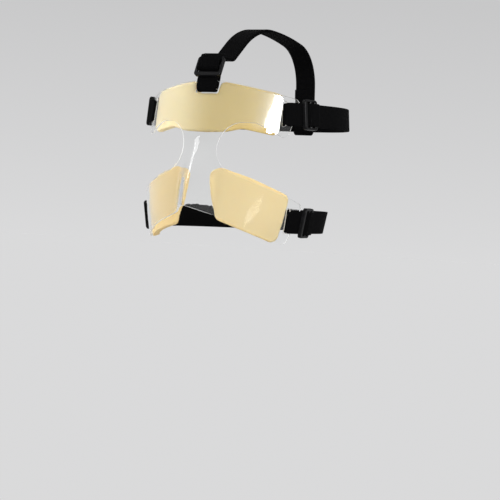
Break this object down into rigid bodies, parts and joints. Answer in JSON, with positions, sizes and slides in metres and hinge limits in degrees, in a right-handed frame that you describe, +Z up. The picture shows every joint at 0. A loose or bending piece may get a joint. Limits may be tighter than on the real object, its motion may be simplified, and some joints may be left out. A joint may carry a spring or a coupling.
{
  "type": "nose guard face mask",
  "caption": "Clear moulded face guard with a brow band, nose dome and cheek wings, foam pads behind them and webbing straps with sliders that hold it on the head.",
  "frame": {"origin": "middle of the wearer's head at the height of the eyes, in the mirror plane of the mask", "axes": "+X the wearer's left, -Y the way the mask faces, +Z up"},
  "size_m": [0.1692, 0.2179, 0.1928],
  "materials": {
    "clear_sheet": "polished clear moulded sheet",
    "foam": "smooth cream closed-cell foam",
    "tape": "thin double-sided adhesive sheet",
    "webbing": "black ribbed elastic webbing",
    "thread": "black sewing thread",
    "slider_plastic": "black moulded plastic with a soft sheen"
  },
  "bodies": {
    "mask": {"shell": "clear_sheet", "forehead_pad": "foam", "left_cheek_pad": "foam", "right_cheek_pad": "foam", "forehead_tape": "tape", "left_cheek_tape": "tape", "right_cheek_tape": "tape", "upper_strap": "webbing", "lower_strap": "webbing", "top_strap": "webbing", "top_strap_stitching": "thread"},
    "top_slider_set": {"top_slider": "slider_plastic", "top_hump": "webbing"},
    "left_upper_slider_set": {"left_upper_slider": "slider_plastic", "left_upper_hump": "webbing"},
    "left_lower_slider_set": {"left_lower_slider": "slider_plastic", "left_lower_hump": "webbing"},
    "right_upper_slider_set": {"right_upper_slider": "slider_plastic", "right_upper_hump": "webbing"},
    "right_lower_slider_set": {"right_lower_slider": "slider_plastic", "right_lower_hump": "webbing"}
  },
  "joints": [
    {"name": "top_slide", "type": "slide", "parent": "mask", "child": "top_slider_set", "axis": [0, 0.4067, 0.9135], "range_m": [-0.001, 0.002]},
    {"name": "left_upper_slide", "type": "slide", "parent": "mask", "child": "left_upper_slider_set", "axis": [0.1218, 0.9916, 0.0434], "range_m": [-0.001, 0.014]},
    {"name": "left_lower_slide", "type": "slide", "parent": "mask", "child": "left_lower_slider_set", "axis": [-0.0871, 0.9956, 0.0348], "range_m": [-0.001, 0.014]},
    {"name": "right_upper_slide", "type": "slide", "parent": "mask", "child": "right_upper_slider_set", "axis": [-0.1218, 0.9916, 0.0434], "range_m": [-0.001, 0.014]},
    {"name": "right_lower_slide", "type": "slide", "parent": "mask", "child": "right_lower_slider_set", "axis": [0.0871, 0.9956, 0.0348], "range_m": [-0.001, 0.014]}
  ]
}
